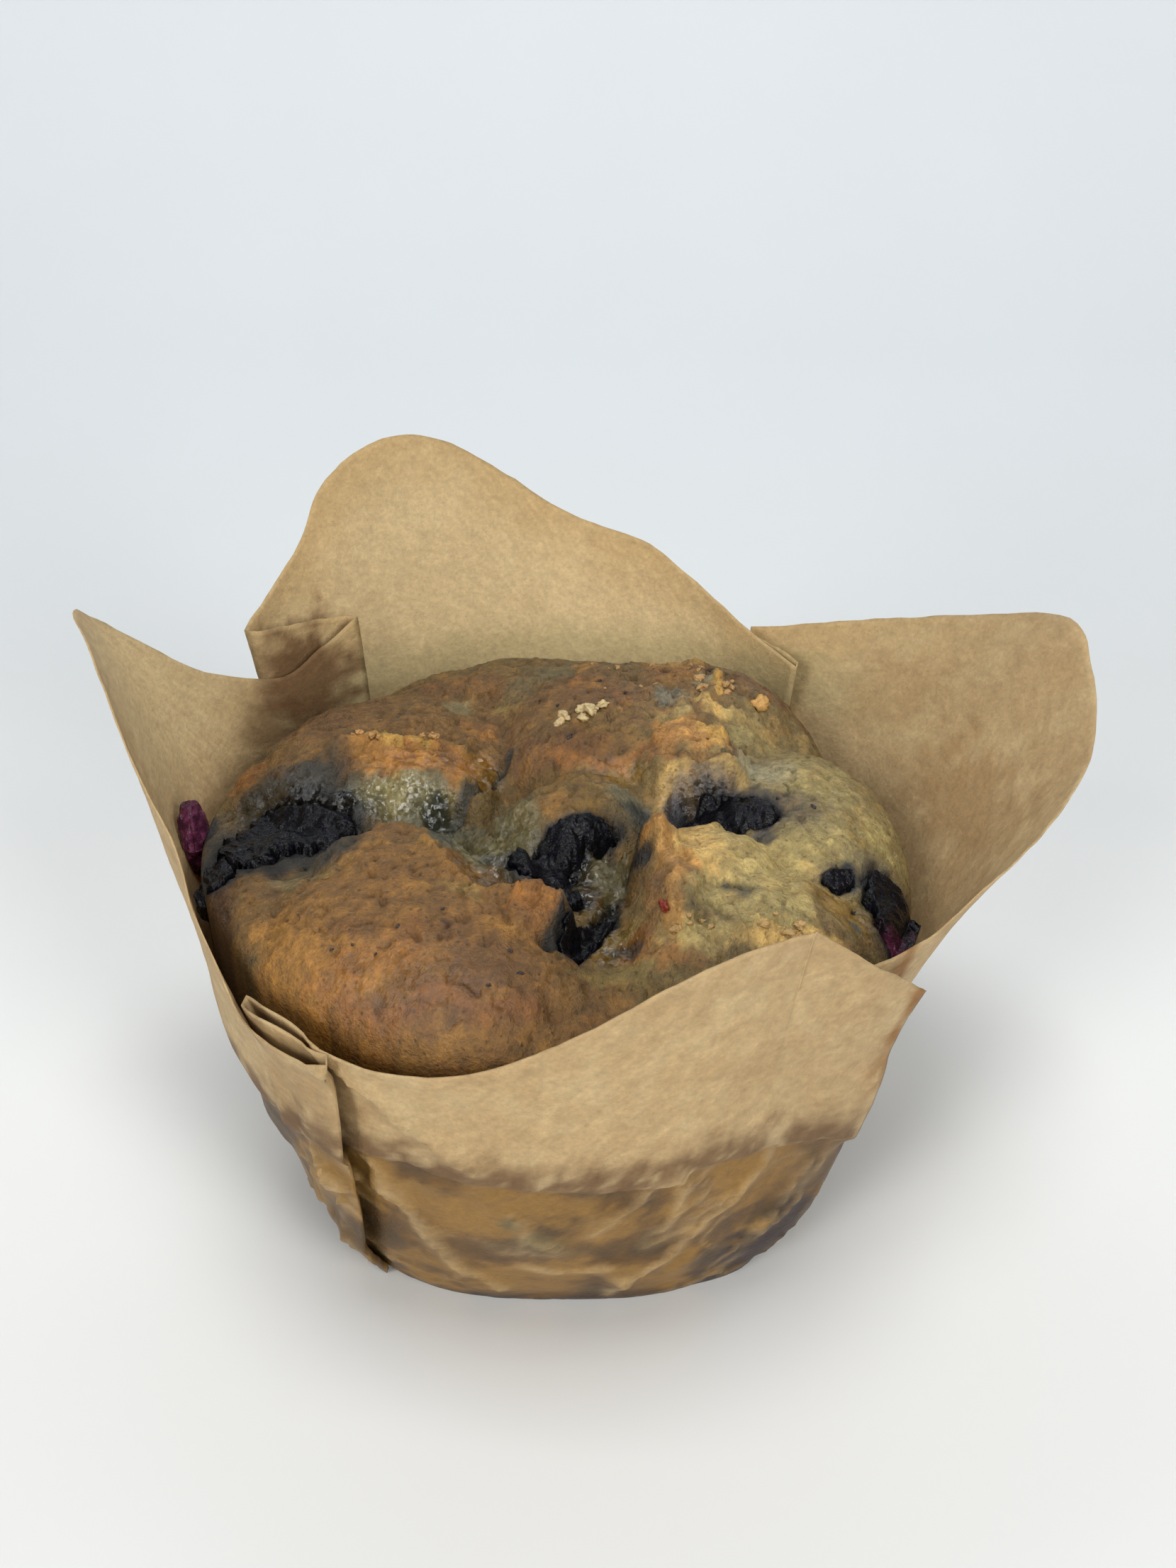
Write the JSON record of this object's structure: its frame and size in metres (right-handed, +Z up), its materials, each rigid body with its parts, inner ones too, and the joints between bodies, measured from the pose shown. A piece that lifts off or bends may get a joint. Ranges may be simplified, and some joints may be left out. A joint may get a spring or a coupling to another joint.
{
  "type": "berry muffin in a folded parchment case",
  "caption": "Whole berry muffin with a lobed, cracked crown, standing in a folded tulip-shaped parchment case with flaring petals.",
  "frame": {"origin": "centre of the flat base of the case, on the surface it stands on", "axes": "+Z up through the crown, +Y towards the tallest petal at the back, +X towards the broad petal on the right"},
  "size_m": [0.1094, 0.0941, 0.0759],
  "materials": {
    "crumb": "moist baked crust and crumb, golden to brown, stained by juice",
    "parchment": "unbleached baking parchment, matte when dry, translucent where greasy",
    "berry_skin": "wet wrinkled dark blue skin",
    "berry_flesh": "burst purple flesh, wet"
  },
  "bodies": {
    "root": {"cake": "crumb", "paper_case": "parchment", "berry_left_large": "berry_skin", "berry_left_low": "berry_skin", "berry_left_edge": "berry_flesh", "berry_centre": "berry_skin", "berry_centre_small": "berry_skin", "berry_front": "berry_skin", "berry_upper_right": "berry_skin", "berry_right_skin": "berry_skin", "berry_right_edge": "berry_flesh"}
  },
  "joints": []
}
